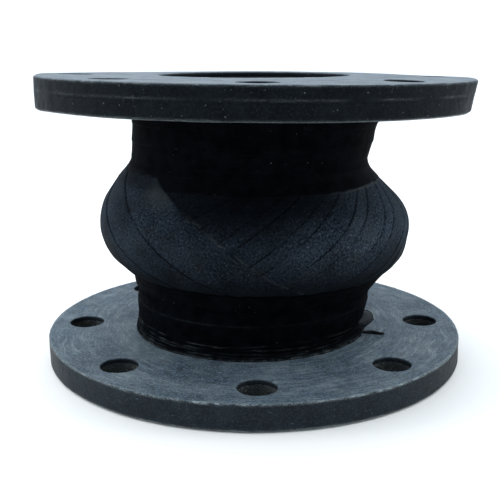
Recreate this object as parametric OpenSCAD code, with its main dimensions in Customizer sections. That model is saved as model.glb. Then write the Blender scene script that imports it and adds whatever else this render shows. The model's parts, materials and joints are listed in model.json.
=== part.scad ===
// Single-arch rubber expansion joint with integral full-face rubber flanges.
// The body is drawn as it is laid up: a liner, a cord carcass and outer wraps, each inside the
// next with a thin bond line between them.
// Lengths are in millimetres and angles in degrees. +Z is the pipe's axis.
// The origin is at the centre of the lower sealing face.

/* [Pipe size] */
// Inside diameter of the flow bore
bore_d = 101.6; // [98:0.1:104]
// Length from sealing face to sealing face
face_to_face = 152.4; // [150:0.1:160]

/* [Flanges] */
// Outside diameter of both flanges
flange_d = 228.6; // [220:0.1:240]
// Thickness of the lower flange
lower_flange_t = 14; // [13:0.5:16]
// Thickness of the upper flange
upper_flange_t = 16; // [13:0.5:18]
// Diameter of the bolt circle
bolt_circle_d = 190.5; // [186:0.1:194]
// Diameter of each bolt hole
bolt_hole_d = 19.05; // [16:0.05:20]
// Number of bolt holes in each flange
bolt_count = 8; // [4:4:12]
// Radius of the upper flange's back edge
upper_edge_round = 4.5; // [1:0.5:5]

/* [Body] */
// Outside diameter of the necks
neck_d = 128; // [127:0.5:132]
// Outside diameter of the arch at its crown
crown_d = 169.2; // [164:0.2:174]
// Outside radius of the arch's rounded crown
crown_round = 25; // [22:0.5:28]
// Outside radius of the hollow where the arch leaves a neck
root_round = 14.8; // [12:0.2:18]
// Angle between the arch's flanks and the pipe's axis
flank_angle = 41.2; // [38:0.2:46]
// Height of the arch's crown above the lower sealing face
crown_z = 73.5; // [72:0.5:76]

/* [Reinforcement] */
// Diameter of the steel rod in each body ring
ring_rod_d = 4.6; // [3:0.1:5]
// Where the outer bias ply begins around the axis
outer_bias_start = 85; // [0:5:355]
// How far the outer bias ply reaches around the axis
outer_bias_turn = 180; // [90:5:270]

/* [Hidden] */
$fn = 96;

flange_r = flange_d / 2;
neck_r = neck_d / 2;
crown_r = crown_d / 2;
upper_back_z = face_to_face - upper_flange_t;

// Depths of the layers, measured inwards from the outermost surface
bond = 0.3;
liner_t = 2.9;
liner_depth = (neck_d - bore_d) / 2 - liner_t;
carcass_depth = 4.3;
carcass_t = liner_depth - bond - carcass_depth;
cover_depth = 2;
cover_t = carcass_depth - bond - cover_depth;
bias_t = 0.8;
bias_bond = 0.2;
neck_cover_t = 1;
lower_set_back = cover_depth - bias_bond;

// Flange make-up: a skin on each side, turned over the edges of four plies
sheet_t = 3;
rim_t = 3.3;
ply_count = 4;
ply_r = flange_r - rim_t - bond;
ply_bore_r = bore_d / 2 + liner_t + bond;
back_bore_r = neck_r - carcass_depth + bond;
face_edge_round = 1.5;
lower_edge_round = 0.8;
fillet_size = 5;

// Heights at which the carcass is divided, one length for each body of the motion chain
lower_joints_z = [21, 35, 47, 57];
upper_joints_z = [90, 100, 112, 124];

// Ends of the outer layers
lip_z = 50;
lower_wrap_end_z = lip_z - bond;
upper_wrap_start_z = 98;
arch_end_z = upper_wrap_start_z - bond;
bias_low_z = lip_z + 1;
bias_high_z = arch_end_z - 1;

// Body rings
ring_r = neck_r - carcass_depth - ring_rod_d / 2 - bond;
lower_ring_z = 31;
upper_ring_z = 116;

// Half of the arch's height, from the crown to where a neck begins
flank_h = (crown_r - neck_r - (crown_round + root_round) * (1 - cos(flank_angle))) / tan(flank_angle);
arch_half = (crown_round + root_round) * sin(flank_angle) + flank_h;
flank_normal = [cos(flank_angle), sin(flank_angle)];

// Half of the section of everything that lies deeper than a given depth
module outline(depth) {
    neck = neck_r - depth;
    crown_centre = crown_r - crown_round;
    crown_end = [crown_centre, 0] + (crown_round - depth) * flank_normal;
    root_start = [neck_r + root_round, arch_half] - (root_round + depth) * flank_normal;
    difference() {
        union() {
            square([neck, face_to_face]);
            translate([0, crown_z]) polygon([
                [0, -arch_half], [neck, -arch_half], [root_start.x, -root_start.y],
                [crown_end.x, -crown_end.y], crown_end, root_start, [neck, arch_half], [0, arch_half]
            ]);
            translate([crown_centre, crown_z]) circle(r = crown_round - depth);
        }
        for (side = [-1, 1])
            translate([neck_r + root_round, crown_z + side * arch_half]) circle(r = root_round + depth);
    }
}

// One layer of the body: everything between two depths and two heights
module layer(from_z, to_z, outer_depth, thickness, turn = 360) {
    rotate_extrude(angle = turn) intersection() {
        difference() {
            outline(outer_depth);
            outline(outer_depth + thickness);
        }
        translate([0, from_z]) square([flange_r, to_z - from_z]);
    }
}

module carcass(from_z, to_z) {
    color("#4a4640") layer(from_z, to_z, carcass_depth, carcass_t);
}

module bolt_holes(height) {
    for (i = [0 : bolt_count - 1])
        rotate([0, 0, i * 360 / bolt_count])
            translate([bolt_circle_d / 2, 0, -1]) cylinder(d = bolt_hole_d, h = height + 2);
}

// A flange's rubber skin on one side: a sheet with a rim that turns over the plies' edges
module skin(height, inner_r, edge_round) {
    color("#2c3034") difference() {
        rotate_extrude() difference() {
            translate([inner_r, 0]) square([flange_r - inner_r, height]);
            translate([inner_r - 1, sheet_t]) square([flange_r - rim_t - inner_r + 1, height]);
            difference() {
                translate([flange_r - edge_round, -1]) square(edge_round + 1);
                translate([flange_r - edge_round, edge_round]) circle(r = edge_round);
            }
        }
        bolt_holes(height);
    }
}

module face_sheet(flange_t) {
    skin(flange_t / 2, bore_d / 2, face_edge_round);
}

// The back cover is drawn with its visible side down
module back_cover(flange_t, edge_round) {
    skin(flange_t / 2, back_bore_r, edge_round);
}

// The plies fill the space between the face sheet and the back cover
module flange_ply(index, flange_t) {
    ply_t = (flange_t - 2 * sheet_t) / ply_count;
    color("#6b6558") translate([0, 0, sheet_t + (index - 1) * ply_t]) difference() {
        cylinder(r = ply_r, h = ply_t);
        translate([0, 0, -1]) cylinder(r = ply_bore_r, h = ply_t + 2);
        bolt_holes(ply_t);
    }
}

// Turns a piece over, to stand at a given height
module turned_over(z) {
    translate([0, 0, z]) mirror([0, 0, 1]) children();
}

// The bead fills the corner between a neck and its flange
module fillet_bead(neck_depth) {
    corner_r = neck_r - neck_depth + bond;
    color("#1d1f21") rotate_extrude() difference() {
        translate([corner_r, 0]) square(fillet_size);
        translate([corner_r + fillet_size + 0.5, fillet_size + 0.5]) circle(r = fillet_size);
    }
}

module body_ring(z) {
    color("silver") translate([0, 0, z]) rotate_extrude() translate([ring_r, 0]) circle(d = ring_rod_d);
}

// A neck's carcass has a groove for its body ring, open to the outside
module neck_carcass(from_z, to_z, ring_z) {
    room = ring_rod_d + 2 * bond;
    difference() {
        carcass(from_z, to_z);
        translate([0, 0, ring_z]) rotate_extrude() {
            translate([ring_r, 0]) circle(d = room);
            translate([ring_r, -room / 2]) square(room);
        }
    }
}

// A bias ply is cord strips laid slantwise over the arch and cured together
module bias_ply(depth, turn = 360) {
    layer(bias_low_z, bias_high_z, depth, bias_t, turn);
}

module inner_bias_ply() {
    color("#26292c") bias_ply(bias_t + bias_bond);
}

module outer_bias_ply() {
    color("#2b2f33") rotate([0, 0, outer_bias_start]) bias_ply(0, outer_bias_turn);
}

module inner_tube() {
    color("#1b1d1f") layer(sheet_t, face_to_face - sheet_t, liner_depth, liner_t);
}

// The binding tape holds the plies down on a neck, and fills the room under the neck's cover
module binding_wrap(from_z, to_z, neck_depth) {
    depth = neck_depth + neck_cover_t + bias_bond;
    color("#232629") layer(from_z, to_z, depth, carcass_depth - bond - depth);
}

module neck_cover(from_z, to_z, neck_depth) {
    color("#17191b") layer(from_z, to_z, neck_depth, neck_cover_t);
}

module arch_cover() {
    color("#17191b") layer(lip_z, arch_end_z, cover_depth, cover_t);
}

module lower_back_cover() {
    turned_over(lower_flange_t) back_cover(lower_flange_t, lower_edge_round);
}

module upper_back_cover() {
    translate([0, 0, upper_back_z]) back_cover(upper_flange_t, upper_edge_round);
}

module lower_fillet_bead() {
    translate([0, 0, lower_flange_t]) fillet_bead(lower_set_back);
}

module lower_ply(index) {
    flange_ply(index, lower_flange_t);
}

module upper_ply(index) {
    turned_over(face_to_face) flange_ply(index, upper_flange_t);
}

face_sheet(lower_flange_t);  // lower_face_sheet
lower_ply(1);  // lower_flange_ply_1
lower_ply(2);  // lower_flange_ply_2
lower_ply(3);  // lower_flange_ply_3
lower_ply(4);  // lower_flange_ply_4
lower_back_cover();
lower_fillet_bead();
carcass(lower_flange_t - sheet_t, lower_joints_z[0]);  // lower_collar_carcass
neck_carcass(lower_joints_z[0], lower_joints_z[1], lower_ring_z);  // lower_neck_carcass
body_ring(lower_ring_z);  // lower_body_ring
carcass(lower_joints_z[1], lower_joints_z[2]);  // lower_root_carcass
carcass(lower_joints_z[2], lower_joints_z[3]);  // lower_flank_carcass
carcass(lower_joints_z[3], crown_z);  // lower_crown_carcass
carcass(crown_z, upper_joints_z[0]);  // upper_crown_carcass
carcass(upper_joints_z[0], upper_joints_z[1]);  // upper_flank_carcass
carcass(upper_joints_z[1], upper_joints_z[2]);  // upper_root_carcass
body_ring(upper_ring_z);  // upper_body_ring
neck_carcass(upper_joints_z[2], upper_joints_z[3], upper_ring_z);  // upper_neck_carcass
carcass(upper_joints_z[3], upper_back_z + sheet_t);  // upper_collar_carcass
turned_over(face_to_face) face_sheet(upper_flange_t);  // upper_face_sheet
upper_ply(1);  // upper_flange_ply_1
upper_ply(2);  // upper_flange_ply_2
upper_ply(3);  // upper_flange_ply_3
upper_ply(4);  // upper_flange_ply_4
upper_back_cover();
turned_over(upper_back_z) fillet_bead(0);  // upper_fillet_bead
inner_tube();
binding_wrap(lower_flange_t, lower_wrap_end_z, lower_set_back);  // lower_binding_wrap
neck_cover(lower_flange_t, lower_wrap_end_z, lower_set_back);  // lower_neck_cover
binding_wrap(upper_wrap_start_z, upper_back_z, 0);  // upper_binding_wrap
neck_cover(upper_wrap_start_z, upper_back_z, 0);  // upper_neck_cover
arch_cover();
inner_bias_ply();
outer_bias_ply();
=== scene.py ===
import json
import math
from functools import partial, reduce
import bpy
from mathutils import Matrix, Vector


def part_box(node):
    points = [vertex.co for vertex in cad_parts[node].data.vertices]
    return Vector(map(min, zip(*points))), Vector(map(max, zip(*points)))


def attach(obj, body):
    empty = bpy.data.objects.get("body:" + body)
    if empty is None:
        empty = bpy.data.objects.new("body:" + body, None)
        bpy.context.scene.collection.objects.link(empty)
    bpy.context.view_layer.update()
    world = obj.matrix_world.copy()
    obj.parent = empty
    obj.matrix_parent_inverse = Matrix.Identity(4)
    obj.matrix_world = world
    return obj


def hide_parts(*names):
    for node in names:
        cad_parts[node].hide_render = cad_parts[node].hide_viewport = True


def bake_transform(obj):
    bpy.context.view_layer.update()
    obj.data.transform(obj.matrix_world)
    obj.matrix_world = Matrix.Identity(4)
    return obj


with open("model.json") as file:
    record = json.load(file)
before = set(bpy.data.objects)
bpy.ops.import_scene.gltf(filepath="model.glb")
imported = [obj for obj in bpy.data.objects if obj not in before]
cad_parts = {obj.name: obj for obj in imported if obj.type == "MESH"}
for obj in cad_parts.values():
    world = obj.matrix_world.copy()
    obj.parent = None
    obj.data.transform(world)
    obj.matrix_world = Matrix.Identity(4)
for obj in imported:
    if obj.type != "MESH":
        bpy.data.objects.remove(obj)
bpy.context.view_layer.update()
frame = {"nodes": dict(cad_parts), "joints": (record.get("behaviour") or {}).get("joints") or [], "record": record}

# A single-arch rubber expansion joint, dressed around its imported frame.
#
# The body is a chain of short lengths, one for each joint. Every layer of the body (cover, carcass and
# liner) is a closed ring in each length.
# Shapes are in millimetres until MM turns them into metres. A turn is the angle round the pipe's axis in
# degrees, from the front (-Y) towards +X.

from types import SimpleNamespace

import bmesh
import bpy
import numpy as np

MM = 0.001

# ---- Sizes

JOINTS = frame["joints"]
MOUNTS = {mount["name"]: mount for mount in frame["record"]["mounts"]}
CARCASS_NODES = [node for node in frame["nodes"] if node.endswith("_carcass")]
COVER_NODES = ["lower_neck_cover", "lower_binding_wrap", "lower_fillet_bead", "arch_cover", "inner_bias_ply",
               "outer_bias_ply", "upper_neck_cover", "upper_binding_wrap", "upper_fillet_bead"]


def low_z(node):
    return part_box(node)[0].z / MM


def high_z(node):
    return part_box(node)[1].z / MM


def reach_x(node):
    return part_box(node)[1].x / MM


COVER_DEPTH = 4
CARCASS_DEPTH = 4.3
CARCASS_INNER_DEPTH = 10
LINER_DEPTH = 10.3
NECK_R = reach_x("lower_collar_carcass") + CARCASS_DEPTH
CROWN_R = -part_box("outer_bias_ply")[0].x / MM
CROWN_Z = high_z("lower_crown_carcass")
CROWN_ROUND = 25
ROOT_ROUND = 14.8
FLANK = math.radians(41.2)
LIP_Z = low_z("arch_cover")
WRAP_Z = low_z("upper_neck_cover")
LOWER_BACK_Z = high_z("lower_back_cover")
UPPER_BACK_Z = low_z("upper_back_cover")
TOP_Z = high_z("upper_face_sheet")
FLANGE_R = reach_x("lower_face_sheet")
BORE_R = MOUNTS["lower_bore"]["dims"]["r_mm"]
LINER_WALL = NECK_R - BORE_R - LINER_DEPTH
BOLTS = MOUNTS["lower_bolts"]["dims"]
PITCH_R = BOLTS["pcd_mm"] / 2
HOLE_R = BOLTS["hole_r_mm"]
HOLES = BOLTS["count"]

ROUNDS = CROWN_ROUND + ROOT_ROUND
FLANK_RISE = (CROWN_R - NECK_R - ROUNDS * (1 - math.cos(FLANK))) / math.tan(FLANK)
ARCH_HALF = ROUNDS * math.sin(FLANK) + FLANK_RISE

# The crown's length is this much longer at each end
CROWN_EXTRA = 3.3
COLLAR_Z = 129


def zone_edges():
    """Heights between the lengths, one length for each joint."""
    tops = sorted(high_z(node) for node in CARCASS_NODES)[:-1]
    edges = [(a + b) / 2 for a, b in zip(tops, tops[1:])]
    edges[3] -= CROWN_EXTRA
    edges[4] += CROWN_EXTRA
    return [LOWER_BACK_Z] + edges + [COLLAR_Z, UPPER_BACK_Z]


ZONES = zone_edges()
COVER_ZONES = [ZONES[0] - 0.3] + ZONES[1:-1] + [ZONES[-1] + 0.3]
CARCASS_ZONES = [low_z("lower_collar_carcass")] + ZONES[1:-1] + [high_z("upper_collar_carcass")]
LINER_ZONES = [low_z("inner_tube")] + ZONES[1:-1] + [high_z("inner_tube")]

# ---- Noise and curves


def lumps(points, size, seed):
    """Smooth noise from -1 to 1 whose lumps are about size across."""
    lattice = np.random.default_rng(seed).uniform(-1, 1, (32, 32, 32))
    q = points / size
    cell = np.floor(q).astype(int)
    t = q - cell
    t = t * t * (3 - 2 * t)
    total = 0
    for corner in np.ndindex(2, 2, 2):
        weight = np.prod(np.where(corner, t, 1 - t), axis=-1)
        i, j, k = np.moveaxis((cell + corner) % 32, -1, 0)
        total = total + weight * lattice[i, j, k]
    return total


def rough(points, seed, *layers):
    """Layers of lumps, each an amount and a size, with seeds that count up from the first."""
    return sum(amount * lumps(points, size, seed + index) for index, (amount, size) in enumerate(layers))


def ripple(turn, waves, seed):
    """Smooth noise round the axis, about -1 to 1, with about that many waves."""
    rng = np.random.default_rng(seed)
    total = 0
    for _ in range(7):
        count = max(1, round(waves * rng.uniform(0.4, 1.8)))
        total = total + np.cos(np.radians(turn) * count + rng.uniform(0, 2 * math.pi))
    return total / 4


def unit(x):
    return np.clip(x, 0, 1)


def ease(low, high, x):
    """A smooth rise from 0 at low to 1 at high."""
    t = unit((x - low) / (high - low))
    return t * t * (3 - 2 * t)


def fall(low, high, x):
    """A smooth fall from 1 at low to 0 at high."""
    return 1 - ease(low, high, x)


def ridge(x, centre, width):
    return np.exp(-(((x - centre) / width) ** 2))


def hump(x, centre, width):
    """A ridge whose width is its standard deviation."""
    return np.exp(-(((x - centre) / width) ** 2) / 2)


# ---- The body's outline


def body_radius(z, depth):
    """Radius of the body's plain outline at height z, a given depth under its outermost surface."""
    rise = np.abs(z - CROWN_Z)
    crown, root = CROWN_ROUND - depth, ROOT_ROUND + depth
    centre = CROWN_R - CROWN_ROUND
    on_crown = centre + np.sqrt(np.maximum(crown**2 - rise**2, 0))
    on_flank = centre + crown * math.cos(FLANK) - (rise - crown * math.sin(FLANK)) * math.tan(FLANK)
    on_root = NECK_R + ROOT_ROUND - np.sqrt(np.maximum(root**2 - (ARCH_HALF - rise) ** 2, 0))
    places = [rise < crown * math.sin(FLANK), rise < ARCH_HALF - root * math.sin(FLANK), rise < ARCH_HALF]
    return np.select(places, [on_crown, on_flank, on_root], NECK_R - depth)


def lean(turn, z):
    """How far the hand-laid body is from round: its necks sit a little off the arch's axis."""
    taper = fall(12, 32, z)
    low = fall(41, 47, z)
    sideways = 2.6 * hump(z, 52, 9) + 0.9 * hump(z, 76, 9) - 3 * hump(z, 102, 10) - 1.9 * taper - 0.7 * low
    outwards = 1.2 * hump(z, 57, 4) + 1.4 * hump(z, 44, 4) + 0.5 * hump(z, 76, 10) - 2.5 * taper + 1.2 * low
    return np.sin(np.radians(turn)) * sideways + outwards


def around(radius, angle, z):
    """Points round the axis. The angle is in radians from +X."""
    return np.stack([radius * np.cos(angle), radius * np.sin(angle), z + 0 * radius * angle], axis=-1)


def on_body(turn, z, radius):
    return around(radius, np.radians(turn - 90), z)


def polar(points):
    """Each point's distance from the axis, and its turn."""
    x, y = points[:, 0], points[:, 1]
    return np.hypot(x, y), np.degrees(np.arctan2(x, -y))


# A strip laid at a constant slant crosses the turns in step with this reach, in degrees
REACH_Z = np.linspace(0, 152, 1521)
REACH_R = body_radius(REACH_Z, 0)
REACH = np.hypot(1, np.gradient(REACH_R, REACH_Z)) / REACH_R * (REACH_Z[1] - REACH_Z[0])
REACH = np.degrees(np.cumsum(REACH))
REACH -= np.interp(CROWN_Z, REACH_Z, REACH)

# ---- The strips and tapes on the body

# The outer strips' slant, and the turns at which their joints and the inner strips' joints cross the crown
SLANT = 1.35
OUTER_EDGES = np.array([-186, -170, -148, -125, -103, -81, -58, -36, -7.8])
INNER_EDGES = -268.2 + 10 * np.arange(55) + 1.3 * np.sin(3.1 * np.arange(55))
JOINT_WIDTH = 0.3


def laid_strips(position, edges, scale):
    """Each position's strip, share of the strip's width and distance to the nearest joint."""
    index = np.clip(np.searchsorted(edges, position, side="right") - 1, 0, len(edges) - 2)
    start = edges[index]
    width = edges[index + 1] - start
    share = (position - start) / width
    gap = np.minimum(np.abs(position - start), np.abs(start + width - position)) * scale
    return index, share, gap


def laid_layers(turn, z):
    """Where the body's layers and their joints lie, over a grid of turns and heights."""
    turn, z = np.meshgrid(turn, z)
    at = SimpleNamespace(turn=turn, z=z, radius=body_radius(z, 0) + lean(turn, z))
    at.points = on_body(turn, z, at.radius)
    at.reach = np.interp(z, REACH_Z, REACH)
    scale = np.radians(1) * at.radius / math.hypot(1, SLANT)

    # The outer strips run down to the right and the inner ones down to the left
    outer_at = (turn + SLANT * at.reach + 190) % 360 - 190
    inner_at = turn - (1.12 + 0.25 * np.cos(np.radians(turn + 30))) * at.reach
    at.outer_index, at.outer_share, outer_gap = laid_strips(outer_at, OUTER_EDGES, scale)
    at.inner_index, at.inner_share, inner_gap = laid_strips(inner_at, INNER_EDGES, scale)

    into_outer = np.minimum(OUTER_EDGES[-1] - outer_at, outer_at - OUTER_EDGES[0]) * scale
    at.into_outer = into_outer + rough(at.points, 11, (0.35, 1.6), (0.5, 9))
    lap_top = 104 + 1.1 * ripple(turn, 9, 21) + 0.5 * ripple(turn, 40, 22)
    at.below_lap = fall(-0.5, 0.6, z - lap_top)
    at.outer = ease(-0.25, 0.45, at.into_outer) * at.below_lap
    at.wrap_edge = WRAP_Z + 0.5 * ripple(turn, 6, 23) + 0.25 * ripple(turn, 31, 24)
    at.wrapped = ease(-0.2, 0.5, z - at.wrap_edge)
    at.lip = LIP_Z + 0.5 + 0.45 * ripple(turn, 7, 25) + 0.2 * ripple(turn, 33, 26)
    at.arch = ease(-0.35, 0.35, z - at.lip)
    at.plied = at.arch * np.maximum(at.outer, 1 - at.wrapped)

    fade = np.clip(0.55 + 0.75 * lumps(at.points, 15, 31) + 0.35 * hump(turn, -15, 16), 0.2, 1)
    at.inner_joint = ridge(inner_gap, 0, JOINT_WIDTH) * fade * (1 - 0.55 * hump(turn, 75, 28))
    at.outer_joint = ridge(outer_gap, 0, JOINT_WIDTH) * (0.45 + 0.55 * fade)
    return at


def foot_lines(turn):
    """Heights of the edges of the strips round the lower neck's foot."""
    for number, foot_z in enumerate((21.5, 19.2, 17.4, 15.8)):
        yield foot_z + 0.7 * ripple(turn, 4, 61 + number) + 0.25 * ripple(turn, 29, 71 + number)


def squeezed_z(turn):
    """Height of the squeezed-out edge where the lower neck meets its flange."""
    return LOWER_BACK_Z + 0.3 + 0.3 * ripple(turn, 23, 79)


def tape_steps(turn, z, points):
    """The lower neck's tape: a clear edge half way up, a slanting one, and torn strips at the foot."""
    edge = 32.4 + 0.7 * ripple(turn, 2, 51) + 0.15 * ripple(turn, 41, 52)
    steps = 0.3 * fall(-0.25, 0.25, z - edge)
    slanted = 45 - 0.17 * (turn + 61)
    steps = steps + 0.35 * fall(-0.25, 0.25, z - slanted) * ease(-80, -60, turn) * fall(0, 30, turn)
    for edge in foot_lines(turn):
        steps = steps + 0.3 * fall(-0.2, 0.2, z - edge)
    spread = 0.7 + 2 * hump(turn, 62, 26)
    return steps + spread * fall(13, 18, z) ** 1.5 + 0.14 * lumps(points, 3.2, 81)


def relief(at):
    """How far the layers stand out from the body's plain outline."""
    turn, z, wrapped = at.turn, at.z, at.wrapped
    inner = 0.4 * (0.5 - at.inner_share) - 0.35 * at.inner_joint
    outer = 0.4 * (at.outer_share - 0.5) - 0.4 * at.outer_joint
    height = (-0.9 + inner * (1 - 0.93 * at.outer)) * (1 - wrapped) + 0.25 * wrapped
    height = height + at.outer * (0.85 - 0.5 * wrapped + outer) + 0.4 * hump(z, at.lip + 2, 1.4)

    # The lower neck is wrapped in tape, with torn strips laid round its foot
    neck = -0.9 - 0.7 * hump(z, at.lip - 1, 1) + tape_steps(turn, z, at.points)
    height = neck * (1 - at.arch) + height * at.arch
    # The upper neck's tape edges, and its flare into the flange
    for edge, waves, seed in ((109, 2, 41), (118, 3, 42), (127.5, 2, 43)):
        above = z - edge - ripple(turn, waves, seed) - 0.15 * ripple(turn, 37, seed + 5)
        height = height + wrapped * (0.3 * (ease(-0.3, 0.3, above) - 0.5) - 0.15 * hump(above, 0, 0.35))
    flare = ease(-40, 80, turn) * fall(110, 200, turn)
    height = height + 0.8 * ease(108, 120, z)
    height = height + (0.3 + 3.9 * flare) * ease(UPPER_BACK_Z - 18, UPPER_BACK_Z, z) ** 1.7
    return height + rough(at.points, 1, (0.3, 26), (0.14, 8), (0.05, 2.1))


def print_and_painted_light_mask(at):
    """How strongly the arch's cloth print shows, with painted shade and painted light worked into it."""
    turn, z, outer = at.turn, at.z, at.outer
    # Handling has rubbed the print pale in lumps; the front is darkened with painted shade and the upper right
    # side lightened with painted light.
    rubbed = unit(0.62 + 0.4 * lumps(at.points, 22, 33) + 0.25 * lumps(at.points, 7, 35))
    rubbed = rubbed * (1 - 0.65 * hump(turn, -2, 22)) + 0.45 * hump(turn, 52, 22) * ease(62, 78, z)
    # Painted shadow of the upper flange on the front of the arch towards the top, and painted shade low on the
    # front right
    painted_flange_shadow = ease(68, 90, z) * hump(turn, -4, 32) * (1 - 0.75 * outer)
    shaded = 0.95 * fall(54, 78, z) * hump(turn, 26, 46)
    rubbed = unit(rubbed) * (1 - 0.97 * painted_flange_shadow) * (1 - shaded)
    print_and_painted_light = at.plied * (0.16 + 0.84 * rubbed)
    # More painted shadow of the upper flange towards the top at the front, less on the outer ply; then the outer
    # ply darker near its top on the left, and a paler patch on the front right
    print_and_painted_light = print_and_painted_light * (1 - 0.85 * ease(78, 94, z) * hump(turn, 2, 30) * (1 - 0.85 * outer))
    print_and_painted_light = print_and_painted_light * (1 - 0.7 * outer * ease(93, 102, z) * hump(turn, -60, 22))
    return unit(print_and_painted_light + 0.3 * at.plied * hump(turn, 21, 9) * hump(z, 85, 5))


def foot_wear(at):
    """How pale the lower neck's tape edges and its foot are rubbed."""
    turn, z = at.turn, at.z
    above = z - squeezed_z(turn)
    foot = 0.16 * ridge(z, 32.3, 0.45) + 0.9 * ridge(above, 0, 0.5)
    for number, edge in enumerate(foot_lines(turn)):
        foot = foot + ridge(z, edge, 0.28) * unit(0.45 + 0.9 * ripple(turn, 10, 111 + number))
    foot = foot * (0.22 + 0.5 * hump(turn, -62, 40)) * unit(0.6 + 0.7 * lumps(at.points, 4, 34))
    crumbs = unit(0.4 + 0.9 * lumps(at.points, 2, 37)) * hump(turn, 35, 34)
    return foot + 0.6 * crumbs * ridge(above, 0, 0.7)


def body_masks(at):
    """What the cover's material reads: the print with painted shade and light, the worn places with painted
    highlights, and the dark joints with a painted shadow under the lip.
    """
    # A pale line along the outer strips' free edge, partly fraying and partly a painted highlight, strongest round
    # height 79; and a painted highlight along the wrap's edge on the right side
    free_edge = ridge(at.into_outer, -0.1, 0.4) * at.below_lap
    free_edge = free_edge * unit(0.5 + 0.9 * lumps(at.points, 6, 36)) * (0.3 + 0.6 * hump(at.z, 79, 8))
    wrap_line = ridge(at.z - at.wrap_edge, 0.2, 0.5) * (1 - at.outer)
    wear_and_highlight = unit(free_edge * at.arch * fall(80, 95, at.z) + 0.5 * wrap_line * ease(25, 60, at.turn))
    joint = at.outer_joint * at.outer + at.inner_joint * (1 - at.outer) * (1 - at.wrapped)
    # Dark joints on the arch, and a painted shadow in a band just under the lip
    joints_and_lip_shadow = joint * at.arch + 0.8 * ridge(at.z - at.lip, -0.8, 1)
    return np.stack([print_and_painted_light_mask(at), unit(wear_and_highlight + foot_wear(at) * (1 - at.arch)), unit(joints_and_lip_shadow)], axis=-1)


def cloth_lie(at):
    """Coordinates along and across each strip's cloth, and how dark or chalky the strip is."""
    u, v = np.radians(at.turn) * CROWN_R, np.radians(at.reach) * CROWN_R
    sine, cosine = SLANT / math.hypot(1, SLANT), 1 / math.hypot(1, SLANT)
    on_outer = at.outer > 0.5
    v_laid = np.where(on_outer, v, -v)
    plied = at.plied > 0.3
    along = np.where(plied, u * sine - v_laid * cosine, u)
    across = np.where(plied, u * cosine + v_laid * sine, v)
    tint = np.where(on_outer, np.sin(at.outer_index * 12.9), np.sin(at.inner_index * 7.3)) * 0.5
    chalky = at.outer * hump(at.turn, -38, 9) * hump(at.z, 98, 7)
    return np.stack([along, across, tint * at.plied - 1.6 * chalky], axis=-1)


def body_relief(turn, z):
    """The body's outer surface: its radius, and what its materials read."""
    at = laid_layers(turn, z)
    return at.radius + relief(at), body_masks(at), cloth_lie(at)


# ---- Meshes


def placed(name, data):
    """A new object in the scene."""
    thing = bpy.data.objects.new(name, data)
    bpy.context.scene.collection.objects.link(thing)
    return thing


def write(data, key, values):
    data.foreach_set(key, values.astype(np.float32).ravel())


def quad_mesh(name, points_mm, quads):
    mesh = bpy.data.meshes.new(name)
    mesh.vertices.add(len(points_mm))
    write(mesh.vertices, "co", points_mm * MM)
    mesh.loops.add(quads.size)
    mesh.loops.foreach_set("vertex_index", quads.astype(np.int32).ravel())
    mesh.polygons.add(len(quads))
    mesh.polygons.foreach_set("loop_start", np.arange(0, quads.size, 4, dtype=np.int32))
    mesh.update(calc_edges=True)
    return mesh


def quad_piece(mesh, crease_angle, **attributes):
    """A piece that is smooth up to the crease angle, with its attributes."""
    mesh.shade_smooth()
    mesh.set_sharp_from_angle(angle=math.radians(crease_angle))
    for key, values in attributes.items():
        write(mesh.attributes.new(key, "FLOAT_VECTOR", "POINT").data, "vector", values)
    return placed(mesh.name, mesh)


def loose_piece(name, points_mm, faces):
    """A smooth piece whose faces may have any number of corners."""
    mesh = bpy.data.meshes.new(name)
    mesh.from_pydata((points_mm * MM).tolist(), [], faces)
    mesh.shade_smooth()
    return placed(name, mesh)


def weld(mesh):
    """Joins the mesh's parts where they meet, and turns its faces outwards."""
    work = bmesh.new()
    work.from_mesh(mesh)
    bmesh.ops.remove_doubles(work, verts=work.verts, dist=2e-6)
    bmesh.ops.dissolve_degenerate(work, edges=work.edges, dist=1e-6)
    bmesh.ops.recalc_face_normals(work, faces=work.faces)
    work.to_mesh(mesh)
    work.free()


def grid_faces(rows, columns, closed=False):
    """Faces between rows of points that each go once round. Closed joins the last row to the first."""
    row, column = np.meshgrid(np.arange(rows if closed else rows - 1), np.arange(columns), indexing="ij")
    after, beside = (row + 1) % rows, (column + 1) % columns
    corners = ((row, column), (row, beside), (after, beside), (after, column))
    return np.stack([r * columns + c for r, c in corners], axis=-1).reshape(-1, 4)


def turns(count):
    return -180 + 360 * np.arange(count) / count


def steps_between(low, high, size):
    return np.linspace(low, high, max(2, round((high - low) / size) + 1))


def plain_layer(name, low, high, outer_depth, inner_depth, roughness):
    """A ring of the body between two depths and two heights."""
    up = steps_between(low, high, 1)
    turn, z = np.meshgrid(turns(360), np.concatenate([up, up[::-1]]))
    outside = np.arange(len(z))[:, None] < len(up)
    radius = np.where(outside, body_radius(z, outer_depth), body_radius(z, inner_depth)) + lean(turn, z)
    radius = radius + roughness * rough(on_body(turn, z, radius), 5, (0.6, 5), (0.4, 1.7))
    points = on_body(turn, z, radius).reshape(-1, 3)
    return quad_piece(quad_mesh(name, points, grid_faces(*z.shape, closed=True)), 55, rest=points)


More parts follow.
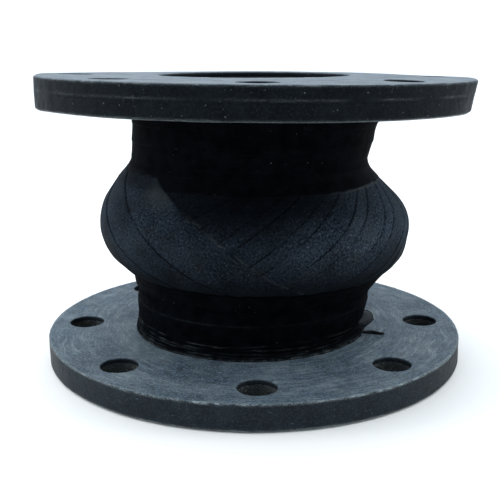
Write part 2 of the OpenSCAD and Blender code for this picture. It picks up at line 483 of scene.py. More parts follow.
def cover_layer(name, low, high):
    """A ring of the outer layers, with everything that shows on the body."""
    turn = turns(1080)
    up = steps_between(low, high, 0.42)
    outer, masks, cloth = body_relief(turn, up)
    down_turn, down_z = np.meshgrid(turn, steps_between(low, high, 3)[::-1])
    inner = body_radius(down_z, COVER_DEPTH) + lean(down_turn, down_z)
    blank = np.zeros(inner.shape + (3,))
    points = np.concatenate([on_body(*np.meshgrid(turn, up), outer), on_body(down_turn, down_z, inner)])
    faces = grid_faces(len(points), len(turn), closed=True)
    points, masks, cloth = (rows.reshape(-1, 3) for rows in (
        points, np.concatenate([masks, blank]), np.concatenate([cloth, blank])))
    return quad_piece(quad_mesh(name, points, faces), 55, finish=masks, cloth=cloth, rest=points)


# ---- The flanges

RIM_COLUMNS = 88
SIDE_ROWS = 26
BORE_COLUMNS = 44
SHEET = 3
RIM_T = 3.3
FACE_EDGE = 1.5
FACE_BORE_EDGE = 1
HOLE_EDGE = 0.7
FOOT_TURNS = np.linspace(-180, 180, 721)
FOOT_R = body_relief(FOOT_TURNS, np.array([LOWER_BACK_Z]))[0][0]


def sector_loop(inner, outer):
    """Points round one bolt hole's share of the flange."""
    half = math.pi / HOLES
    corners = ((outer, -half), (outer, half), (inner, half), (inner, -half), (outer, -half))
    counts = (RIM_COLUMNS, SIDE_ROWS, BORE_COLUMNS, SIDE_ROWS)
    sides = [np.linspace(a, b, count, endpoint=False) for a, b, count in zip(corners, corners[1:], counts)]
    return around(*np.concatenate(sides).T, 0)[:, :2]


def at_every_hole(points, parts):
    """Adds the faces between rows of points round the first bolt hole, and copies at the others."""
    x, y, z = points.reshape(-1, 3).T
    for sector in range(HOLES):
        angle = 2 * math.pi * sector / HOLES
        c, s = math.cos(angle), math.sin(angle)
        parts.append((np.stack([x * c - y * s, x * s + y * c, z], axis=-1), grid_faces(*points.shape[:2])))


def plate_face(inner, outer, level, rings, edge_round, up, parts):
    """One face of a flange piece: a web of rings from each bolt hole out to its share's outline."""
    spoke = sector_loop(inner, outer) - [PITCH_R, 0]
    length = np.hypot(*spoke.T)
    rounding = edge_round * (1 - np.cos(np.linspace(0, math.pi / 2, 5))) if edge_round else np.zeros(1)
    drop = edge_round - np.sqrt(np.maximum(edge_round**2 - (edge_round - rounding) ** 2, 0))
    start = HOLE_R + rounding[-1]
    share = np.linspace(0, 1, rings + 1)[1:, None] ** 1.15
    reach = np.concatenate([HOLE_R + rounding[:, None] + 0 * length, start + (length - start) * share])
    flat = [PITCH_R, 0] + (spoke / length[:, None]) * reach[:, :, None]
    height = level - up * np.concatenate([drop, np.zeros(rings)])[:, None, None] + 0 * reach[:, :, None]
    points = np.concatenate([flat, height], axis=-1)
    at_every_hole(points, parts)
    return points[0]


def hole_walls(top_ring, bottom_ring, rows, parts):
    """The wall of each bolt hole, between the two faces' rings round it."""
    share = np.linspace(0, 1, rows)[:, None, None]
    at_every_hole(top_ring * (1 - share) + bottom_ring * share, parts)


def lathe(outline, columns, parts):
    """A band turned about the axis from an open outline of (radius, height) points."""
    radius, height = np.array(outline).T[:, :, None]
    angle = -math.pi / HOLES + 2 * math.pi * np.arange(columns * HOLES) / (columns * HOLES)
    points = around(radius, angle, height)
    parts.append((points.reshape(-1, 3), grid_faces(*points.shape[:2])))


def straight(start, stop, size):
    """Points from the start to the stop, without the start."""
    count = max(2, round(math.dist(start, stop) / size) + 1)
    return np.linspace(start, stop, count)[1:].tolist()


def read(mesh, key):
    values = np.zeros(len(mesh.vertices) * 3, np.float32)
    mesh.vertices.foreach_get(key, values)
    return values.reshape(-1, 3).astype(float)


def joined(name, parts, wobble, masks):
    """One closed piece from parts that meet edge to edge, with its unevenness and its masks."""
    points = np.concatenate([p for p, _ in parts])
    starts = np.cumsum([0] + [len(p) for p, _ in parts[:-1]])
    mesh = quad_mesh(name, points, np.concatenate([f + s for (_, f), s in zip(parts, starts)]))
    weld(mesh)
    rest = read(mesh, "co") / MM
    write(mesh.vertices, "co", (rest + wobble(rest, read(mesh, "normal"))) * MM)
    mesh.update()
    return quad_piece(mesh, 50, rest=rest, finish=masks(rest))


def hole_distance(rest):
    """Distance from the nearest bolt hole's wall."""
    step = 2 * math.pi / HOLES
    nearest = np.round(np.arctan2(rest[:, 1], rest[:, 0]) / step) * step
    return np.hypot(rest[:, 0] - PITCH_R * np.cos(nearest), rest[:, 1] - PITCH_R * np.sin(nearest)) - HOLE_R


def outward(points):
    """The direction away from the axis at each point."""
    return points * [1, 1, 0] / np.maximum(polar(points)[0], 1)[:, None]


def flange_set(points):
    """How far the upper flange has sagged at its right and back, and slants under at its right rim."""
    radius, turn = polar(points)
    x, y = points[:, 0] / FLANGE_R, points[:, 1] / FLANGE_R
    above = (points[:, 2] - UPPER_BACK_Z) / (TOP_Z - UPPER_BACK_Z)
    out = (3.6 * above - 1.6) * hump(turn, 90, 30) * ease(FLANGE_R - 9, FLANGE_R - 0.3, radius)
    down = -1.5 * np.maximum(x, 0) - 0.8 * np.minimum(x, 0) + 0.3 * np.minimum(y, 0) - 2.2 * np.maximum(y, 0)
    ends = 2.4 * hump(turn, -90, 18) + 1.6 * hump(turn, 90, 18)
    down = down - (1 - unit(above)) * ends * ease(FLANGE_R - 30, FLANGE_R - 8, radius)
    down = down * ease(NECK_R - 2, FLANGE_R - 3, radius)
    return outward(points) * out[:, None] + down[:, None] * [0, 0, 1]


def skin_parts(skin):
    """The skin's faces, rim, bore edge and hole walls."""
    parts = []
    top = plate_face(skin.bore + skin.bore_edge, FLANGE_R - skin.rim_edge, skin.face_z, 26, HOLE_EDGE,
                     skin.up, parts)
    bottom = plate_face(skin.bore, FLANGE_R - RIM_T, skin.below_z, 1, 0, skin.up, parts)
    hole_walls(top, bottom, 7, parts)

    def rounded(radius, size, stop, steps):
        angle = np.radians(np.linspace(90, stop, steps))
        height = skin.face_z - skin.up * size * (1 - np.sin(angle))
        return np.stack([radius + size * np.cos(angle), height], axis=-1).tolist()

    rim = rounded(FLANGE_R - skin.rim_edge, skin.rim_edge, 0, 7)
    for stop, size in (
        ((FLANGE_R, skin.seam_z + skin.up * skin.seam_round), 0.5),
        ((FLANGE_R - skin.seam_round, skin.seam_z), 1),
        ((FLANGE_R - RIM_T, skin.seam_z), 1.5),
        ((FLANGE_R - RIM_T, skin.below_z), 2),
    ):
        rim += straight(rim[-1], stop, size)
    lathe(rim, RIM_COLUMNS, parts)
    edge = rounded(skin.bore + skin.bore_edge, skin.bore_edge, 180, 5 if skin.bore_edge else 1)
    lathe(edge + straight(edge[-1], (skin.bore, skin.below_z), 0.8), BORE_COLUMNS, parts)
    return parts


def skin_wobble(skin, rest, normal):
    """The skin's unevenness, with the upper flange's sag."""
    radius = polar(rest)[0]
    above = skin.up * (rest[:, 2] - skin.below_z)
    on_rim = radius > FLANGE_R - 0.3
    on_hole = (hole_distance(rest) < 0.9) & (above > 0.01)
    loose = rough(rest, 90, (0.12, 34), (0.05, 7), (0.03, 1.9)) - 0.2
    rough_rim = rough(rest, 93, (0.16, 16), (0.11, 3), (0.06, 1.3))
    rough_hole = rough(rest, 96, (0.26, 2.4), (0.2, 6))
    places = [on_hole, on_rim | (radius > FLANGE_R - skin.rim_edge)]
    flat = np.where(on_rim, 0, normal[:, 2] ** 2)
    amount = np.select(places, [rough_hole, rough_rim], loose) * (1 - flat) + loose * flat
    direction = np.where(on_rim[:, None], outward(rest), normal)
    moved = direction * np.where((above > -0.01) | on_rim, amount, 0)[:, None]
    if skin.sags:
        moved = moved + flange_set(rest) * np.where(on_rim, 1, unit(above / SHEET))[:, None]
    return moved


def skin_masks(skin, rest):
    """What the flange's material reads: the face, the worn and dusty places with a painted highlight along the
    face's outer corner, and the holes' edges.
    """
    (radius, turn), z = polar(rest), rest[:, 2]
    face = ease(-1.2, -0.1, skin.up * (z - skin.face_z))
    face = face * fall(FLANGE_R - skin.rim_edge * 0.6, FLANGE_R, radius)
    # A painted highlight along the face's rounded outer corner, broken by noise
    inset = 0.29 * skin.rim_edge
    corner = hump(radius, FLANGE_R - inset, 0.5) * hump(z, skin.face_z - skin.up * inset, 0.5)
    corner = skin.corner_wear * corner * ease(0, 0.7, 0.78 + rough(rest, 99, (0.5, 2.6), (0.35, 11)))
    seam = hump(z, skin.seam_z + 1.5, 0.35) * ease(FLANGE_R - 1, FLANGE_R, radius)
    seam = skin.seam_wear * seam * unit(0.5 + 0.7 * ripple(turn, 13, 103))

    # Crumbs and chalky patches lie on the face round the neck's foot
    beside = radius - np.interp(turn, FOOT_TURNS, FOOT_R) - 0.4 * ripple(turn, 14, 98)
    crumbs = unit(0.45 + 0.5 * ripple(turn, 11, 101) + 0.7 * lumps(rest, 1.6, 104))
    foot = 0.8 * hump(beside, 0.5, 1.3) * crumbs * (0.4 + 0.6 * hump(turn, 35, 45)) * face
    chalky = 1.2 * hump(np.hypot(rest[:, 0] + 98, rest[:, 1] + 13), 0, 6)
    for amount, out, width, middle, spread in (
        (1, 7, 6, -66, 26), (0.9, 37, 5, -25, 24), (0.9, 36, 6, 60, 16), (0.5, 30, 9, 160, 60),
    ):
        chalky = chalky + amount * hump(beside, out, width) * hump(turn, middle, spread)
    foot = foot + ease(0, 0.8, 0.5 + 0.5 * lumps(rest, 12, 102)) * chalky * face
    wear_and_highlight = unit(corner + seam + 0.8 * foot)
    return np.stack([face, wear_and_highlight, 0.6 * (hole_distance(rest) < 0.2)], axis=-1)


def flange_skin(name, face_z, bore, bore_edge, rim_edge, **looks):
    """A flange's rubber skin on one side, from its outer face at face_z to the rim's seam at seam_z."""
    skin = SimpleNamespace(face_z=face_z, bore=bore, bore_edge=bore_edge, rim_edge=rim_edge, **looks)
    skin.up = 1 if skin.face_z > skin.seam_z else -1
    skin.below_z = skin.face_z - skin.up * SHEET
    return joined(name, skin_parts(skin), partial(skin_wobble, skin), partial(skin_masks, skin))


def flange_ply(node, seed):
    """A cord ply of a flange, with the frayed walls that its bolt holes show."""
    low, high = low_z(node), high_z(node)
    outer, bore = reach_x(node), BORE_R + LINER_WALL + 0.3
    parts = []
    top = plate_face(bore, outer, high, 1, 0, 1, parts)
    bottom = plate_face(bore, outer, low, 1, 0, -1, parts)
    hole_walls(top, bottom, 5, parts)
    lathe([(outer, high), (outer, low)], RIM_COLUMNS, parts)
    lathe([(bore, high), (bore, low)], BORE_COLUMNS, parts)

    def frayed(rest, normal):
        inside = (hole_distance(rest) < 0.05) & (rest[:, 2] > low + 0.1) & (rest[:, 2] < high - 0.1)
        return normal * np.where(inside, rough(rest, seed, (0.35, 1.5), (0.25, 4)), 0)[:, None]

    return joined(node + "_cords", parts, frayed, np.zeros_like)


# ---- Loose cord ends and scraps of tape


def directions(vectors):
    return vectors / np.linalg.norm(vectors, axis=-1, keepdims=True)


def strand(path, thickness, columns=5):
    """A thin tapered hair along a path."""
    forward = directions(np.gradient(path, axis=0))
    side = directions(np.cross(forward, [0.31, 0.23, 0.92]))
    other = np.cross(forward, side)
    angle = 2 * math.pi * np.arange(columns)[None, :, None] / columns
    taper = thickness * (1 - 0.75 * np.linspace(0, 1, len(path)))[:, None, None]
    points = path[:, None, :] + taper * (side[:, None, :] * np.cos(angle) + other[:, None, :] * np.sin(angle))
    end = (len(path) - 1) * columns
    caps = [list(range(columns))[::-1], list(range(end, end + columns))]
    return points.reshape(-1, 3), grid_faces(len(path), columns).tolist() + caps


def fibres(name, count, seed, place):
    """Loose cord ends, each a short curved hair from a place on a cut edge."""
    rng = np.random.default_rng(seed)
    points, faces = [], []
    total = 0
    for _ in range(count):
        root, out, length, thickness = place(rng)
        out = directions(out)
        bend = rng.normal(0, 0.55, 3)
        share = np.linspace(0, 1, 5)[:, None]
        path = root - 0.25 * out + (length + 0.25) * (share * out + 0.5 * share**2 * bend)
        if name == "upper_rim_fibres":
            path = path + flange_set(path)
        more, cells = strand(path, thickness)
        points.append(more)
        faces += [[corner + total for corner in cell] for cell in cells]
        total += len(more)
    return loose_piece(name, np.concatenate(points), faces)


def rim_place(z, upwards, longest):
    """Places for hairs along a rim's edge, thicker in some stretches."""
    def place(rng):
        turn = rng.uniform(-180, 180)
        while ripple(turn, 5, 131) < rng.uniform(-1.1, 0.9):
            turn = rng.uniform(-180, 180)
        away = on_body(turn, 0, 1)
        root = away * (FLANGE_R - 0.6) + [0, 0, z]
        out = away * rng.uniform(0, 0.8)
        out = out + [rng.normal(0, 0.5), rng.normal(0, 0.5), upwards * rng.uniform(0.2, 0.9)]
        return root, out, rng.uniform(0.4, longest), rng.uniform(0.05, 0.12)
    return place


def hole_place(low, high):
    """Places for hairs on the walls of the bolt holes."""
    def place(rng):
        hole = 2 * math.pi * rng.integers(HOLES) / HOLES
        away = around(1, rng.uniform(0, 2 * math.pi), 0)
        root = around(PITCH_R, hole, rng.uniform(low, high)) + away * HOLE_R
        return root, rng.normal(0, 0.6, 3) - away, rng.uniform(0.5, 1.6), rng.uniform(0.05, 0.11)
    return place


def soft_strip(name, rows, thickness):
    """A thin closed strip of rubber from rows of points across it."""
    rows = np.array(rows)
    half = directions(np.cross(np.gradient(rows, axis=0), np.gradient(rows, axis=1))) * thickness / 2
    outline = np.concatenate([rows + half, (rows - half)[:, ::-1]], axis=1)
    count, columns = outline.shape[:2]
    faces = grid_faces(count, columns).tolist()
    for start in (0, (count - 1) * columns):
        for k in range(columns // 2 - 1):
            corners = [start + c for c in (k, k + 1, columns - 2 - k, columns - 1 - k)]
            faces.append(corners[::-1] if start else corners)
    piece = loose_piece(name, outline.reshape(-1, 3), faces)
    weld(piece.data)
    rounding = piece.modifiers.new("rounding", "SUBSURF")
    rounding.levels = rounding.render_levels = 2
    return piece


def torn_tail():
    """A torn end of the foot's tape that lies out over the lower flange, on the right."""
    share = np.linspace(0, 1, 12)
    angle = 65 + 8 * share + 1.2 * np.sin(5 * share)
    height = LOWER_BACK_Z + 0.5 + 2 * (1 - share) ** 3 + 0.3 * np.sin(4 * share)
    path = on_body(angle, height, NECK_R + 1 + 10 * share)
    width = (2.4 * (1 - share) ** 0.5 + 0.6)[:, None]
    twist = np.radians(35 + 40 * np.sin(3 * share))[:, None]
    side = directions(np.cross(np.gradient(path, axis=0), [0, 0, 1]))
    side = side * np.cos(twist) + [0, 0, 1] * np.sin(twist)
    rows = np.stack([path + side * width * k for k in (-0.5, 0, 0.5)], axis=1)
    return soft_strip("torn_tape_end", rows, 1.1)


def flap_rows():
    """A flap of the foot's tape that has lifted off the lower neck, on the right."""
    share = np.linspace(0, 1, 12)
    rows = []
    for across in np.linspace(0, 1, 9):
        turn = 66 + 15 * across + 0 * share
        z = 19.2 + (4.3 - 8.7 * share) * (0.4 + 0.6 * math.sin(2.3 * across))
        z = z + 0.8 * across * np.sin(9 * share)
        lift = 7.5 * across**0.7 * np.sin(0.8 * math.pi * share) ** 0.8
        rows.append(on_body(turn, z, body_radius(z, 0) + lean(turn, z) - 0.6 + lift))
    return rows


# ---- Materials


def is_socket(value):
    return isinstance(value, bpy.types.NodeSocket)


def put(socket, value):
    """Sets a socket, or links it to another node's socket."""
    if is_socket(value):
        socket.id_data.links.new(value, socket)
    else:
        socket.default_value = value


def add(tree, kind, inputs=(), **settings):
    node = tree.nodes.new("ShaderNode" + kind)
    for key, value in settings.items():
        setattr(node, key, value)
    for key, value in dict(inputs).items():
        put(node.inputs[key], value)
    return node


def calc(operation, *values):
    tree = next(filter(is_socket, values)).id_data
    return add(tree, "Math", enumerate(values), operation=operation).outputs[0]


def times(*values):
    return reduce(partial(calc, "MULTIPLY"), values)


def plus(*values):
    return reduce(partial(calc, "ADD"), values)


def coats(colour, *layers):
    """A colour with coats laid over it, each an amount and a colour."""
    for amount, coat in layers:
        colours = (c if is_socket(c) else (*c, 1) for c in (colour, coat))
        inputs = dict(zip((0, 6, 7), (amount, *colours)))
        colour = add(amount.id_data, "Mix", inputs, data_type="RGBA").outputs[2]
    return colour


def spots(vector, scale, detail=2, roughness=0.5):
    """Noise from about 0.2 to 0.8. The scale is lumps per unit of the vector."""
    inputs = {"Vector": vector, "Scale": scale, "Detail": detail, "Roughness": roughness}
    return add(vector.id_data, "TexNoise", inputs).outputs[0]


def levels(value, low, high, bottom=0, top=1):
    inputs = {"Value": value, "From Min": low, "From Max": high, "To Min": bottom, "To Max": top}
    return add(value.id_data, "MapRange", inputs).outputs[0]


def patches(vector, scale, detail, roughness, low, high):
    """Noise stretched to run from 0 at the low level to 1 at the high one."""
    return levels(spots(vector, scale, detail, roughness), low, high)


def parts_of(vector):
    return add(vector.id_data, "SeparateXYZ", {0: vector}).outputs


def together(x, y, z):
    return add(x.id_data, "CombineXYZ", {0: x, 1: y, 2: z}).outputs[0]


def distance(x, y):
    return calc("SQRT", plus(times(x, x), times(y, y)))


def bumped(height, strength, size, normal=None):
    inputs = {"Height": height, "Strength": strength, "Distance": size}
    if normal:
        inputs["Normal"] = normal
    return add(height.id_data, "Bump", inputs).outputs[0]


def new_material(name):
    """A material and its shader."""
    material = bpy.data.materials.new(name)
    material.use_nodes = True
    return material, material.node_tree.nodes["Principled BSDF"]


def stored(shader, name):
    """What a mesh has stored for its material."""
    return add(shader.id_data, "Attribute", attribute_name=name).outputs["Vector"]


def object_place(shader):
    return add(shader.id_data, "TexCoord").outputs["Object"]


def fill(shader, **sockets):
    for key, value in sockets.items():
        put(shader.inputs[key.replace("_", " ").title().replace("Ior", "IOR")], value)


def cover_rubber(name, specular):
    """The body's rubber: near-black tape on the necks, and a cloth print on the arch."""
    material, shader = new_material(name)
    rest = stored(shader, "rest")
    print_and_painted_light, wear_and_highlight, joints_and_lip_shadow = parts_of(stored(shader, "finish"))
    along, across, tint = parts_of(stored(shader, "cloth"))
    weave = times(plus(calc("SINE", times(across, 5.7)), calc("SINE", times(along, 5.1))), 0.5)
    cloth = together(along, across, 0)
    grain = spots(cloth, 0.8, 2.5, 0.8)
    fine = spots(rest, 1.6, 4, 0.7)
    mottle = spots(rest, 0.16, 4, 0.6)
    broad = spots(rest, 0.045, 3, 0.55)
    lint = patches(rest, 1.3, 0, 0.5, 0.87, 0.89)
    streaks = patches(together(times(along, 0.05), times(across, 1.3), 0), 1, 4, 0.65, 0.56, 0.78)

    neck = coats(
        (0.0006, 0.0008, 0.0013),
        (levels(mottle, 0.35, 0.7), (0.0019, 0.0026, 0.0036)),
        (times(streaks, 0.45), (0.006, 0.0085, 0.011)),
    )
    arch = coats(
        (0.008, 0.0115, 0.017),
        (levels(mottle, 0.3, 0.7), (0.018, 0.027, 0.04)),
        (levels(broad, 0.42, 0.66, 0, 0.7), (0.029, 0.041, 0.058)),
        (times(levels(weave, -0.2, 1), 0.3), (0.028, 0.038, 0.048)),
        (times(levels(grain, 0.5, 0.62), 0.6), (0.062, 0.083, 0.107)),
        (times(patches(cloth, 0.55, 2.5, 0.75, 0.61, 0.69), 0.7), (0.13, 0.155, 0.18)),
        (levels(grain, 0.47, 0.37, 0, 0.8), (0.002, 0.003, 0.004)),
        (times(patches(rest, 0.07, 3, 0.6, 0.52, 0.68), 0.35), (0.028, 0.028, 0.024)),
        (levels(tint, 0.1, 0.5, 0, 0.35), (0.006, 0.008, 0.01)),
        (levels(tint, -0.3, -1.6, 0, 0.85), (0.06, 0.068, 0.07)),
    )
    specks = times(patches(rest, 1.5, 1, 0.5, 0.7, 0.78), print_and_painted_light, 0.3)
    # The print's mask carries painted shade and painted light as well as the print, the worn mask painted
    # highlights as well as wear, and the joints' mask a painted shadow under the lip
    colour = coats(
        neck,
        (print_and_painted_light, arch),
        (times(wear_and_highlight, levels(fine, 0.33, 0.62)), (0.095, 0.105, 0.105)),
        (specks, (0.13, 0.15, 0.165)),
        (times(lint, 0.35), (0.2, 0.22, 0.23)),
        (levels(joints_and_lip_shadow, 0.1, 0.85, 0, 0.95), (0.0008, 0.0009, 0.0012)),
    )
    normal = bumped(plus(times(weave, print_and_painted_light, 0.5), fine), 0.5, 0.00022)
    normal = bumped(spots(rest, 0.35, 3, 0.6), 0.35, 0.0005, normal)
    fill(shader, base_color=colour, roughness=levels(grain, 0.3, 0.7, 0.6, 0.8), normal=normal)
    fill(shader, specular_ior_level=specular)
    return material


def flange_rubber(name, tone, rim, dusty, rim_specular, face_specular):
    """Slate-grey rubber with dust rubbed round in streaks, scuffed rims darkened with painted shade, a painted
    highlight along each face's outer corner, and dark-edged holes.
    """
    material, shader = new_material(name)
    rest = stored(shader, "rest")
    face, wear_and_highlight, hole_edge = parts_of(stored(shader, "finish"))
    x, y, z = parts_of(rest)
    radius = distance(x, y)
    round_x, round_y = calc("DIVIDE", x, radius), calc("DIVIDE", y, radius)
    rise = plus(radius, z, times(spots(rest, 0.03, 2, 0.5), 14))

    def rubbed(lengths, widths):
        return together(times(round_x, lengths), times(round_y, lengths), times(rise, widths))

    def shade(k):
        return tuple(tone * k * c for c in (0.74, 1, 1.24))

    streaks = patches(rubbed(3.2, 0.42), 1, 6, 0.75, 0.5, 0.66)
    fine_streaks = patches(rubbed(7, 0.85), 1, 4, 0.75, 0.53, 0.68)
    blotches = patches(rest, 0.075, 8, 0.72, 0.47, 0.62)
    broad = patches(rest, 0.022, 4, 0.6, 0.38, 0.64)
    mottle = patches(rest, 0.11, 5, 0.62, 0.4, 0.72)
    fine = spots(rest, 1.5, 4, 0.7)
    grit = patches(rest, 0.95, 2, 0.8, 0.5, 0.64)
    pits = patches(rest, 0.8, 2, 0.8, 0.45, 0.33)
    speck = patches(rest, 0.85, 1, 0.5, 0.73, 0.78)
    tar = patches(rest, 0.5, 0, 0.5, 0.85, 0.87)
    grain = levels(face, 0, 1, 0.32, 0.6)

    dust = plus(times(blotches, 0.3), times(plus(streaks, fine_streaks), broad, 0.85))
    chalk = tuple(tone * c for c in (0.175, 0.2, 0.2))
    rubbing = levels(plus(fine, times(fine_streaks, 0.5)), 0.4, 0.75)
    # The rims take a much darker colour than the face, scaled again by the rim factor: painted shade on the
    # upright sides, which also darkens the grit on them
    side = coats(shade(0.012 * rim), (mottle, shade(0.022 * rim)))
    colour = coats(
        side,
        (face, coats(shade(0.035), (mottle, shade(0.062)))),
        (times(broad, face, 0.5), shade(0.085)),
        (times(dust, face, dusty), chalk),
        (times(grit, grain), coats(shade(0.055 * rim), (face, shade(0.2)))),
        (times(pits, grain), shade(0.012)),
        (times(wear_and_highlight, rubbing), tuple(1.3 * c for c in chalk)),
        (times(speck, 0.3), (0.2, 0.24, 0.27)),
        (times(tar, 0.8), shade(0.01)),
        (times(hole_edge, 0.6), shade(0.006)),
    )
    normal = bumped(plus(fine, times(grit, 0.2)), 0.3, 0.0002)
    normal = bumped(plus(spots(rest, 0.3, 4, 0.6), times(streaks, 0.25)), 0.35, 0.0006, normal)
    fill(shader, base_color=colour, roughness=levels(mottle, 0, 1, 0.45, 0.62), normal=normal)
    fill(shader, specular_ior_level=levels(face, 0, 1, rim_specular, face_specular))
    return material


def liner_rubber():
    """The bore's smooth black rubber, with faint mandrel marks and a bloom of dust."""
    material, shader = new_material("liner_rubber")
    rest = stored(shader, "rest")
    x, y, z = parts_of(rest)
    marks = spots(together(x, y, times(z, 0.06)), 0.7, 4, 0.6)
    bloom = patches(rest, 0.05, 5, 0.6, 0.4, 0.7)
    colour = coats((0.009, 0.0095, 0.0105), (levels(marks, 0.35, 0.7), (0.02, 0.022, 0.024)),
                   (times(bloom, 0.35), (0.05, 0.055, 0.06)))
    normal = bumped(plus(marks, times(spots(rest, 1.4, 4, 0.65), 0.3)), 0.4, 0.0003)
    fill(shader, base_color=colour, roughness=levels(bloom, 0, 1, 0.32, 0.55), normal=normal)
    fill(shader, specular_ior_level=0.5)
    return material


def cord_fabric():
    """Rubberised tyre cord: cords side by side, with rubber squeezed up between them."""
    material, shader = new_material("cord_fabric")
    rest = stored(shader, "rest")
    x, y, z = parts_of(rest)
    slanted = plus(times(x, 0.7), times(y, 0.7))
    cords = calc("SINE", times(plus(slanted, z), 5.2))
    twist = calc("SINE", times(calc("SUBTRACT", slanted, times(y, 1.4)), 9))
    fuzz = spots(rest, 0.9, 5, 0.75)
    soaked = patches(rest, 0.16, 4, 0.6, 0.38, 0.54)
    colour = coats(
        (0.005, 0.006, 0.006),
        (levels(cords, -0.6, 0.8), (0.022, 0.024, 0.021)),
        (levels(fuzz, 0.54, 0.67, 0, 0.65), (0.24, 0.25, 0.2)),
        (times(soaked, 0.8), (0.012, 0.014, 0.014)),
    )
    normal = bumped(plus(cords, times(twist, 0.3), times(fuzz, 1.5)), 0.6, 0.0004)
    fill(shader, base_color=colour, roughness=levels(fuzz, 0.3, 0.7, 0.6, 0.85), normal=normal)
    fill(shader, specular_ior_level=0.3, sheen_weight=0.15, sheen_roughness=0.5)
    return material


def scrap_rubber(name, dusty):
    """Loose ends of tape: black rubber with a little dust on it."""
    material, shader = new_material(name)
    place = object_place(shader)
    dust = patches(place, 350, 4, 0.65, 0.45, 0.7)
    dark, pale = (tuple(dusty * c for c in tone) for tone in ((0.01, 0.0135, 0.018), (0.055, 0.07, 0.085)))
    normal = bumped(spots(place, 1500, 3, 0.6), 0.3, 0.0002)
    fill(shader, base_color=coats(dark, (dust, pale)), roughness=levels(dust, 0, 1, 0.55, 0.75))
    fill(shader, normal=normal, specular_ior_level=0.1)
    return material


def ring_steel():
    """Drawn steel rod: fine marks along the wire, and a light stain."""
    material, shader = new_material("ring_steel")
    place = object_place(shader)
    x, y, z = parts_of(place)
    radius = distance(x, y)
    drawn = together(calc("DIVIDE", x, radius), calc("DIVIDE", y, radius), times(plus(radius, z), 4000))
    marks = spots(drawn, 1, 4, 0.6)
    stain = patches(place, 90, 5, 0.6, 0.45, 0.7)
    colour = coats((0.45, 0.45, 0.46), (stain, (0.19, 0.13, 0.09)),
                   (levels(marks, 0.4, 0.6, 0, 0.3), (0.62, 0.62, 0.63)))
    fill(shader, base_color=colour, metallic=levels(stain, 0, 1, 1, 0.4))
    fill(shader, roughness=levels(marks, 0.3, 0.7, 0.25, 0.45), normal=bumped(marks, 0.3, 0.0001))
    return material


def fibre_cotton():
    """Loose cord ends, pale with rubber dust."""
    material, shader = new_material("fibre_cotton")
    dirt = spots(object_place(shader), 700, 3, 0.6)
    colour = coats((0.05, 0.06, 0.065), (levels(dirt, 0.35, 0.65), (0.3, 0.32, 0.33)))
    fill(shader, base_color=colour, roughness=levels(dirt, 0.3, 0.7, 0.7, 0.95))
    fill(shader, normal=bumped(dirt, 0.3, 0.0001), specular_ior_level=0.25)
    return material


def floor_paint():
    """The floor's pale matt paint."""
    material, shader = new_material("floor_paint")
    place = object_place(shader)
    colour = coats((0.9, 0.84, 0.78), (spots(place, 3, 4, 0.5), (0.92, 0.86, 0.8)))
    fill(shader, base_color=colour, roughness=levels(spots(place, 40), 0.3, 0.7, 0.65, 0.75))
    fill(shader, specular_ior_level=0.2)
    return material


COTTON = fibre_cotton()
NECK_RUBBER = cover_rubber("neck_rubber", 0.006)
ARCH_RUBBER = cover_rubber("arch_rubber", 0.012)
# The third number is the rim factor, the painted shade on each flange's rim
LOWER_FLANGE_RUBBER = flange_rubber("lower_flange_rubber", 1.05, 0.95, 1, 0.06, 0.06)
UPPER_FLANGE_RUBBER = flange_rubber("upper_flange_rubber", 0.62, 0.6, 0.8, 0.02, 0.3)
LINER = liner_rubber()
CORDS = cord_fabric()
STEEL = ring_steel()
SCRAP_DUSTY = scrap_rubber("scrap_dusty", 0.3)
SCRAP_BLACK = scrap_rubber("scrap_black", 0.25)

# ---- The body's pieces


def dress(piece, material, slot_name, nodes):
    piece.data.materials.append(material)
    if nodes:
        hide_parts(*nodes)
    return piece


def overlapping(nodes, low, high):
    return [node for node in nodes if low_z(node) < high - 0.05 and high_z(node) > low + 0.05]


for number, joint in enumerate(JOINTS):
    low, high = ZONES[number], ZONES[number + 1]
    start, end = (0, 0, low * MM), (0, 0, high * MM)
    span = slice(number, number + 2)

    arch_length = low >= LIP_Z - 10 and high <= WRAP_Z + 9
    slot_name, material = ("arch_rubber", ARCH_RUBBER) if arch_length else ("neck_rubber", NECK_RUBBER)
    cover = cover_layer(f"{joint['name']}_cover", *COVER_ZONES[span])
    dress(cover, material, slot_name, overlapping(COVER_NODES, low, high))
    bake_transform(cover)
    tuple(start)
    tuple(end)

    ends = CARCASS_ZONES[span]
    carcass = plain_layer(f"{joint['name']}_carcass", *ends, CARCASS_DEPTH, CARCASS_INNER_DEPTH, 0.12)
    dress(carcass, CORDS, "cord_fabric", overlapping(CARCASS_NODES, *ends))
    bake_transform(carcass)
    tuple(start)
    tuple(end)

    ends = LINER_ZONES[span]
    liner = plain_layer(f"{joint['name']}_liner", *ends, LINER_DEPTH, LINER_DEPTH + LINER_WALL, 0.04)
    dress(liner, LINER, "liner_rubber", ["inner_tube"])
    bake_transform(liner)
    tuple(start)
    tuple(end)

for node in ("lower_body_ring", "upper_body_ring"):
    ring = frame["nodes"][node]
    ring.data.materials.clear()
    ring.data.materials.append(STEEL)

# ---- The flanges' pieces

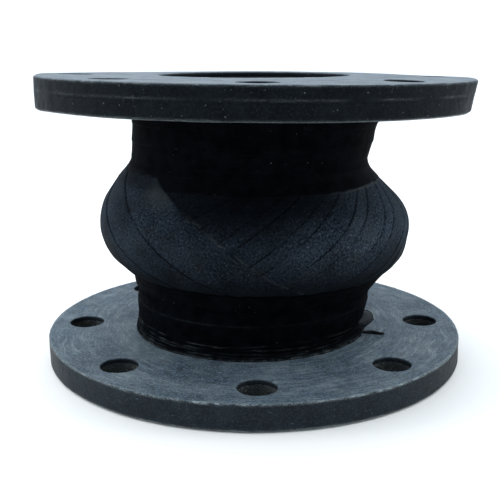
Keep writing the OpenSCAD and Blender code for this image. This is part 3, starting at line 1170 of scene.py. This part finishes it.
for end, face_z, back_z, back_edge, rubber, looks in (
    ("lower", 0, LOWER_BACK_Z, 0.8, LOWER_FLANGE_RUBBER,
     {"seam_round": 0.04, "seam_wear": 0, "corner_wear": 1.5, "sags": False}),
    ("upper", TOP_Z, UPPER_BACK_Z, 2, UPPER_FLANGE_RUBBER,
     {"seam_round": 0.08, "seam_wear": 0.4, "corner_wear": 0.7, "sags": True}),
):
    looks["seam_z"] = (face_z + back_z) / 2
    pieces = []
    for side, node, *sizes in (
        ("face", "face_sheet", face_z, BORE_R, FACE_BORE_EDGE, FACE_EDGE),
        ("back", "back_cover", back_z, NECK_R - COVER_DEPTH, 0, back_edge),
    ):
        skin = flange_skin(f"{end}_{side}_rubber", *sizes, **looks)
        pieces.append(dress(skin, rubber, "flange_rubber", [f"{end}_{node}"]))
    for index in range(1, 5):
        node = f"{end}_flange_ply_{index}"
        pieces.append(dress(flange_ply(node, 200 + 7 * index), CORDS, "cord_fabric", [node]))
    for piece in pieces:
        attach(piece, f"{end}_end")

flap = flap_rows()
for scrap, material in (
    (soft_strip("lifted_tape_flap", flap, 0.5), SCRAP_DUSTY),
    (torn_tail(), SCRAP_BLACK),
    (loose_piece("flap_hem", *strand(flap[-1], 0.5, 8)), SCRAP_BLACK),
):
    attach(dress(scrap, material, "neck_rubber", []), "lower_end")
for name, body, count, seed, place in (
    ("lower_rim_fibres", "lower_end", 150, 301, rim_place(LOWER_BACK_Z - 0.2, 1, 1.5)),
    ("upper_rim_fibres", "upper_end", 260, 302, rim_place(UPPER_BACK_Z + 1.6, -1, 1.1)),
    ("lower_hole_fibres", "lower_end", 260, 303, hole_place(3.5, LOWER_BACK_Z - 2.5)),
    ("upper_hole_fibres", "upper_end", 260, 304, hole_place(UPPER_BACK_Z + 3.5, TOP_Z - 3)),
):
    tuft = dress(fibres(name, count, seed, place), COTTON, "cord_fabric", [])
    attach(tuft, body)

# ---- The studio, in metres


def studio_floor():
    """A plain, pale floor that reaches past every view."""
    columns = 96
    radius = np.concatenate([[0.02], np.geomspace(0.1, 14, 23)])[:, None]
    angle = 2 * math.pi * np.arange(columns) / columns
    faces = grid_faces(len(radius), columns)[:, ::-1].tolist() + [list(range(columns))]
    mesh = bpy.data.meshes.new("studio_floor")
    mesh.from_pydata(around(radius, angle, 0).reshape(-1, 3).tolist(), [], faces)
    mesh.materials.append(floor_paint())
    floor = placed("studio_floor", mesh)
    floor.location.z = -0.0003


def studio_air():
    """Plain studio surroundings: brightest behind and to the left, dim in front."""
    world = bpy.data.worlds.new("studio")
    world.use_nodes = True
    bpy.context.scene.world = world
    background = world.node_tree.nodes["Background"]
    direction = add(world.node_tree, "TexCoord").outputs["Generated"]
    inputs = {0: direction, 1: (-0.42, 0.7, 0.58)}
    toward = add(world.node_tree, "VectorMath", inputs, operation="DOT_PRODUCT").outputs["Value"]
    put(background.inputs["Strength"], levels(toward, -0.7, 0.75, 0.65, 1.7))
    put(background.inputs["Color"], (0.82, 0.96, 1.1, 1))


def soft_light(name, place, target, size, power):
    light = bpy.data.lights.new(name, "AREA")
    light.shape = "RECTANGLE"
    light.size, light.size_y = size
    light.energy = power
    lamp = placed(name, light)
    lamp.location = place
    aim = Vector(target) - Vector(place)
    lamp.rotation_euler = aim.to_track_quat("-Z", "Y").to_euler()


def studio_camera():
    """The camera stands a little above the top flange, square to the front bolt hole."""
    data = bpy.data.cameras.new("camera")
    data.lens = 59.16
    data.sensor_width = 36
    data.clip_start = 0.01
    data.clip_end = 100
    camera = placed("camera", data)
    turn, yaw, pitch = -0.0192, -0.0068, 0.2412
    x, y = 0.00092, -0.4486
    c, s = math.cos(turn), math.sin(turn)
    camera.location = (x * c - y * s, x * s + y * c, 0.166)
    camera.rotation_euler = (math.pi / 2 - pitch, 0, turn - yaw)
    bpy.context.scene.camera = camera


studio_floor()
studio_air()
soft_light("overhead_softbox", (-0.25, 0.35, 1.5), (0, 0, 0.05), (1.4, 1.4), 8)
soft_light("left_softbox", (-1.3, 0, 0.45), (0, 0, 0.07), (0.5, 0.8), 6)
soft_light("right_softbox", (1.25, 0, 0.45), (0, 0, 0.07), (0.5, 0.8), 6)
studio_camera()
bpy.context.scene.view_settings.view_transform = "Standard"
